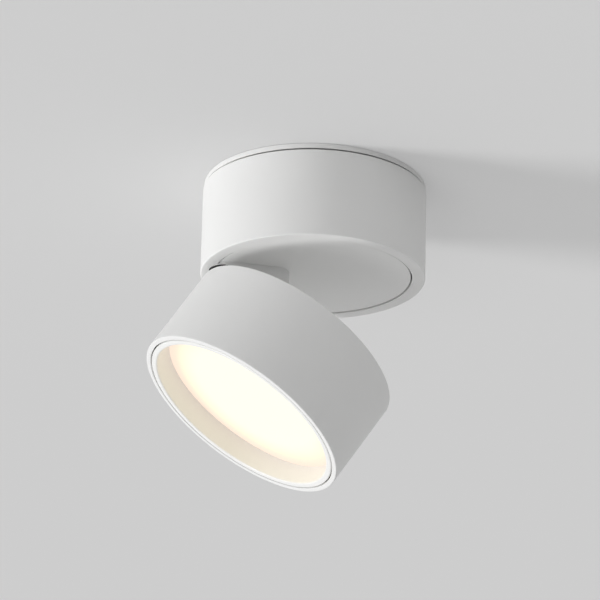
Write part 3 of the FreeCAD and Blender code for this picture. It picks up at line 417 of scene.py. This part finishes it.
def makeCeilingPlate():
    size = {"radius": plateHigh[0], "depth": -plateLow[2], "sheet": 1.5, "edge": 0.7, "flangeDepth": 2.5,
            "lockRadius": 50.0, "lockWall": 1.5, "lugHeight": 1.5, "lugOuter": 51.9, "lugAngle": 22,
            "slotSpacing": 60, "slotWidth": 5.2, "slotLength": 12, "cableOffset": 20, "cableHole": 6.5,
            "clampOffset": 34, "clampSpacing": 18, "bossRadius": 3.4, "bossDepth": 7.5, "bossLap": 0.1}
    edge, lock, fine = size["radius"] - size["edge"], size["lockRadius"], drum["fineRound"]
    pressing = turned([
        (0, 0, 0), (size["radius"], 0, fine), (size["radius"], -size["flangeDepth"], drum["seamRound"]),
        (edge, -size["flangeDepth"], 0), (edge, -size["sheet"], fine), (lock, -size["sheet"], 0),
        (lock, -size["depth"], 0), (lock - size["lockWall"], -size["depth"], 0),
        (lock - size["lockWall"], -size["sheet"], 0), (0, -size["sheet"], 0)], False)
    lugs = [ringPiece(lock - size["lockWall"] / 2, size["lugOuter"], -size["depth"],
                      size["lugHeight"] - size["depth"], angle, size["lugAngle"]) for angle in thirds]
    bossTop = size["bossLap"] - size["sheet"]
    bosses = [turned([(screwHole, -size["bossDepth"], 0), (size["bossRadius"], -size["bossDepth"], fine),
                      (size["bossRadius"], bossTop, 0), (screwHole, bossTop, 0)],
                     True, smallSteps, (side * size["clampSpacing"] / 2, -size["clampOffset"]))
              for side in (-1, 1)]
    piece = shown("ceilingPlate", meshFrom("ceilingPlate", [pressing]))
    through = (-size["sheet"] - past, past)
    slots = [stadium(size["slotWidth"], size["slotLength"], *through, side * size["slotSpacing"] / 2)
             for side in (-1, 1)]
    combined(piece, "DIFFERENCE", slots + [rod(size["cableHole"], *through, (0, -size["cableOffset"]))])
    combined(piece, "UNION", lugs + bosses)
    finished(piece, "base", "ceiling_plate")


def makeBaseHousing():
    size = {"wall": 2.0, "rimWidth": 6.4, "wellDepth": 9.4, "floor": 2.4, "bushRadius": 7.5,
            "keeperInner": 50.4, "keeperLow": -8.0, "keeperHigh": -6.0, "keeperAngle": 22,
            "stopPin": (14, 0), "stopPinRadius": 1.0, "earthScrew": (-26, -26), "driverScrew": (31.25, 30),
            "terminalScrew": (5, -29)}
    bore, well = drum["radius"] - size["wall"], drum["radius"] - size["rimWidth"]
    floorUnder = drum["rim"] + size["wellDepth"]
    floorTop = floorUnder + size["floor"]
    cup = turned([
        (bore, drum["top"], 0), (drum["radius"], drum["top"], drum["seamRound"]),
        (drum["radius"], drum["rim"], drum["edgeRound"]), (well, drum["rim"], drum["fineRound"]),
        (well, floorUnder, drum["fineRound"]), (size["bushRadius"], floorUnder, 0),
        (size["bushRadius"], floorTop, 0), (bore, floorTop, drum["fineRound"])])
    keepers = [ringPiece(size["keeperInner"], drum["radius"] - size["wall"] / 2, size["keeperLow"],
                         size["keeperHigh"], angle, size["keeperAngle"]) for angle in thirds]
    piece = shown("baseHousing", meshFrom("baseHousing", [cup]))
    through = (floorUnder - past, floorTop + past)
    holes = [rod(size["stopPinRadius"], *through, size["stopPin"]),
             rod(screwHole, *through, size["earthScrew"])]
    for side in (-1, 1):
        holes += [rod(screwHole, *through, (side * x, y))
                  for x, y in (size["driverScrew"], size["terminalScrew"])]
    combined(piece, "DIFFERENCE", holes)
    combined(piece, "UNION", keepers)
    finished(piece, "base", "base_housing")


def makeRotaryPlate():
    size = {"radius": 47.9, "recess": 0.5, "thickness": 2.5, "hubRadius": 14, "hubTop": -39.3, "seat": 2.8,
            "cavity": 4.0, "shaftHole": 5.02, "wireHalf": 3.5, "wireReach": 20, "wireHole": 30,
            "screws": (17.5, 42)}
    face = drum["rim"] + size["recess"]
    top = face + size["thickness"]
    seat = top + size["seat"]
    disc = turned([
        (0, top, 0), (size["cavity"], top, 0), (size["cavity"], seat, 0), (size["shaftHole"], seat, 0),
        (size["shaftHole"], size["hubTop"], 0), (size["hubRadius"], size["hubTop"], smallRound),
        (size["hubRadius"], top, smallRound), (size["radius"], top, smallRound),
        (size["radius"], face, drum["fineRound"]), (0, face, 0)], False)
    piece = shown("rotaryPlate", meshFrom("rotaryPlate", [disc]))
    through = (face - past, top + past)
    holes = [rod(size["wireHalf"], *through, (-size["wireHole"], 0))]
    holes += [rod(screwHole, *through, (-place, 0)) for place in size["screws"]]
    channel = box((-size["wireReach"], 0), (-size["wireHalf"], size["wireHalf"]), (top + hair, seat - hair))
    combined(piece, "DIFFERENCE", holes + [channel])
    finished(piece, "rotor", "rotary_plate")


def makeHingeShadowPad():
    # A thin black pad let into the underside of the bracket round its eye: painted shadow, a dark sheet that
    # stands for the deep shade in the gap between the bracket and the head's slot.
    size = {"width": 15.1, "length": 22.0, "end": 0.15, "proud": 0.15, "inset": 0.25, "bracketDrop": 1.3}
    outer, under = boxOf("hinge_bracket")[0][0], drum["rim"] - size["bracketDrop"]
    middle = outer + size["end"] + size["length"] / 2
    shells = [stadium(size["width"], size["length"], under - size["proud"], under + size["inset"], middle)]
    piece = shown("hingeShadowPad", meshFrom("hingeShadowPad", shells))
    piece.data.set_sharp_from_angle(angle=sharpAngle)
    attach(piece, "rotor")
    # painted shadow: the pad's near black rubber finish stands for the shade under the bracket
    piece.data.materials.append(finishes["grommet_rubber"])
    print(f"{piece.name}: {len(piece.data.polygons)} faces")


makeCeilingPlate()
makeBaseHousing()
makeRotaryPlate()
softened("hinge_bracket", "hingeBracket", drum["fineRound"], "rotor")
makeHingeShadowPad()
print("base and rotor done")


# Head: drawn folded flat, then swung to rest

head = {"height": 47.4, "back": 3.0, "recess": 11.1}
headFront, headInside = headBack - head["height"], headBack - head["back"]


def makeHeadHousing():
    size = {"wall": 2.5, "grooveLow": 6.0, "grooveHigh": 8.0, "grooveDepth": 0.7, "slotHalfLength": 9.4,
            "slotHalfWidth": 4.2, "postRadius": 3.5, "postCircle": 46.0, "postDepth": 16.0, "postHole": 6.0,
            "postLap": 0.5}
    bore = drum["radius"] - size["wall"]
    groove = bore + size["grooveDepth"]
    grooveLow, grooveHigh = headFront + size["grooveLow"], headFront + size["grooveHigh"]
    cup = turned([
        (0, headBack, 0), (drum["radius"], headBack, drum["edgeRound"]),
        (drum["radius"], headFront, drum["edgeRound"]), (bore, headFront, drum["fineRound"]),
        (bore, grooveLow, 0), (groove, grooveLow, 0), (groove, grooveHigh, 0), (bore, grooveHigh, 0),
        (bore, headInside, drum["fineRound"]), (0, headInside, 0)], False)
    piece = shown("headHousing", meshFrom("headHousing", [cup], swung))
    posts = []
    tip, root = headBack - size["postDepth"], headInside + size["postLap"]
    for angle in np.radians(thirds):
        centre = (size["postCircle"] * math.cos(angle), size["postCircle"] * math.sin(angle))
        posts.append(turned([
            (0, tip + size["postHole"], 0), (screwHole, tip + size["postHole"], 0), (screwHole, tip, 0),
            (size["postRadius"], tip, smallRound), (size["postRadius"], root, 0), (0, root, 0)],
            False, smallSteps, centre))
    combined(piece, "UNION", posts, swung)
    pinX = hinge["pin"][0]
    slot = box((pinX - size["slotHalfWidth"], pinX + size["slotHalfWidth"]),
               (-size["slotHalfLength"], size["slotHalfLength"]), (headInside - hair, headBack + past))
    combined(piece, "DIFFERENCE", [slot], swung)
    finished(piece, "head", "head_housing")


def makeTrimRing():
    size = {"inner": 48.9, "outer": 51.9, "wall": 1.5, "face": 2.0, "innerRound": 0.8, "hookLow": 6.2,
            "hookHigh": 7.8, "hookOuter": 53.0, "hookAngle": 15, "hookTurn": 60}
    outside = size["inner"] + size["wall"]
    under, end = headFront + size["face"], headFront + head["recess"]
    moulding = turned([
        (size["inner"], headFront, size["innerRound"]), (size["outer"], headFront, drum["edgeRound"]),
        (size["outer"], under, smallRound), (outside, under, smallRound), (outside, end, 0),
        (size["inner"], end, 0)])
    hooks = [ringPiece(size["inner"] + size["wall"] / 2, size["hookOuter"], headFront + size["hookLow"],
                       headFront + size["hookHigh"], angle + size["hookTurn"], size["hookAngle"])
             for angle in thirds]
    piece = shown("trimRing", meshFrom("trimRing", [moulding], swung))
    combined(piece, "UNION", hooks, swung)
    finished(piece, "head", "trim_ring")


def makeDiffuser():
    size = {"radius": 51.0, "thickness": 2.0}
    face = headFront + head["recess"]
    back = face + size["thickness"]
    disc = turned([(0, face, 0), (size["radius"], face, smallRound), (size["radius"], back, smallRound),
                   (0, back, 0)], False)
    piece = shown("diffuserDisc", meshFrom("diffuserDisc", [disc], swung))
    finished(piece, "head", "diffuser")


makeHeadHousing()
makeTrimRing()
makeDiffuser()
softened("hinge_knuckle", "hingeKnuckle", smallRound, "head")
print("head done")


# Ceiling, light and camera

def seenPlain(tree):
    # One where the camera, a reflection or something clear looks, and nought where light is gathered.
    ray = addNode(tree, "ShaderNodeLightPath")
    direct = addNode(tree, "ShaderNodeMath", {"operation": "ADD"},
                     {0: ray.outputs["Is Camera Ray"], 1: ray.outputs["Is Glossy Ray"]})
    return addNode(tree, "ShaderNodeMath", {"operation": "ADD", "use_clamp": True},
                   {0: direct.outputs["Value"], 1: ray.outputs["Is Transmission Ray"]}).outputs["Value"]


def makeCeiling():
    # Rings at one height, radius r going round to r cos u, r sin u, with a hole above the ceiling plate.
    # From above it is clear, so that the object shows. Almost half of what the camera sees of it is one
    # even tone, which softens the shadow.
    size = {"rings": (53.0, 200.0, 1000.0, 12000.0), "steps": 128, "height": 0.2, "even": "#BEBEBE",
            "evenShare": 0.45}
    angle = np.linspace(0, 2 * np.pi, size["steps"], endpoint=False)
    radius = np.array(size["rings"])[:, None]
    points = np.stack([radius * np.cos(angle), radius * np.sin(angle),
                       size["height"] + 0 * radius * angle], -1)
    faces = gridFaces(len(size["rings"]), size["steps"], False, True)
    ceiling = shown("ceiling", meshFrom("ceiling", [(points.reshape(-1, 3), faces)]))
    if ceiling.data.polygons[0].normal.z > 0:
        ceiling.data.flip_normals()
    material, tree, shader, place = newFinish("mattCeilingPaint", IOR=1.45)
    mottled(tree, shader, place, {"dark": "#EBEBEB", "pale": "#ECECEC", "driftMm": 200, "grainMm": 2,
                                  "rough": (0.85, 0.95), "lift": 0.05, "liftMm": 0.02})
    even = addNode(tree, "ShaderNodeEmission", {"Color": linear(size["even"])})
    share = addNode(tree, "ShaderNodeMath", {"operation": "MULTIPLY", 1: size["evenShare"]},
                    {0: seenPlain(tree)})
    seen = addNode(tree, "ShaderNodeMixShader", {}, {0: share.outputs["Value"], 1: shader.outputs["BSDF"],
                                                     2: even.outputs["Emission"]})
    clear = addNode(tree, "ShaderNodeBsdfTransparent")
    side = addNode(tree, "ShaderNodeNewGeometry")
    either = addNode(tree, "ShaderNodeMixShader", {}, {0: side.outputs["Backfacing"],
                                                       1: seen.outputs["Shader"], 2: clear.outputs["BSDF"]})
    tree.links.new(either.outputs["Shader"], tree.nodes["Material Output"].inputs["Surface"])
    ceiling.data.materials.append(material)


def makeLight():
    # A broad lamp low on the left throws the base's shadow along the ceiling, a weak one lifts the
    # undersides from the front left, and the room grows brighter behind, below and high above.
    lamps = {
        "keyLight": {"azimuth": -2, "rise": 30, "spread": 15, "strength": 1.51},
        "fillLight": {"azimuth": 45, "rise": 50, "spread": 25, "strength": 0.26},
    }
    room = {"towards": (-0.091, 0.235, -0.116), "level": 0.441, "above": 0.5, "background": "#CDCDCD"}
    for name, look in lamps.items():
        lamp = bpy.data.objects.new(name, bpy.data.lights.new(name, "SUN"))
        lamp.data.energy, lamp.data.angle = look["strength"], math.radians(look["spread"])
        lamp.rotation_euler = (0, -math.pi / 2 - math.radians(look["rise"]), math.radians(look["azimuth"]))
        bpy.context.scene.collection.objects.link(lamp)
    world = bpy.data.worlds.new("room")
    world.use_nodes = True
    bpy.context.scene.world = world
    tree = world.node_tree
    direction = addNode(tree, "ShaderNodeTexCoord").outputs["Generated"]
    lean = addNode(tree, "ShaderNodeVectorMath", {"operation": "DOT_PRODUCT", 1: room["towards"]},
                   {0: direction})
    height = addNode(tree, "ShaderNodeSeparateXYZ", {}, {0: direction})
    above = addNode(tree, "ShaderNodeMath", {"operation": "MAXIMUM", 1: 0.0}, {0: height.outputs["Z"]})
    lifted = addNode(tree, "ShaderNodeMath",
                     {"operation": "MULTIPLY_ADD", 1: room["above"], 2: room["level"]},
                     {0: above.outputs["Value"]})
    level = addNode(tree, "ShaderNodeMath", {"operation": "ADD"},
                    {0: lean.outputs["Value"], 1: lifted.outputs["Value"]})
    lit = tree.nodes["Background"]
    lit.inputs["Color"].default_value = (1, 1, 1, 1)
    tree.links.new(level.outputs["Value"], lit.inputs["Strength"])
    plain = addNode(tree, "ShaderNodeBackground", {"Color": linear(room["background"])})
    either = addNode(tree, "ShaderNodeMixShader", {}, {0: seenPlain(tree), 1: lit.outputs["Background"],
                                                       2: plain.outputs["Background"]})
    tree.links.new(either.outputs["Shader"], tree.nodes["World Output"].inputs["Surface"])


def makeCamera():
    view = {"place": (-404.29, -1862.06, -822.08), "turn": (111.8122, -1.3269, -12.6014), "lens": 252.35,
            "sensor": 36}
    camera = bpy.data.objects.new("camera", bpy.data.cameras.new("camera"))
    camera.data.sensor_width, camera.data.lens = view["sensor"], view["lens"]
    camera.location = [along / perMetre for along in view["place"]]
    camera.rotation_euler = [math.radians(angle) for angle in view["turn"]]
    bpy.context.scene.collection.objects.link(camera)
    bpy.context.scene.camera = camera


makeCeiling()
makeLight()
makeCamera()
bpy.context.scene.view_settings.view_transform = "Standard"
print("stage done")
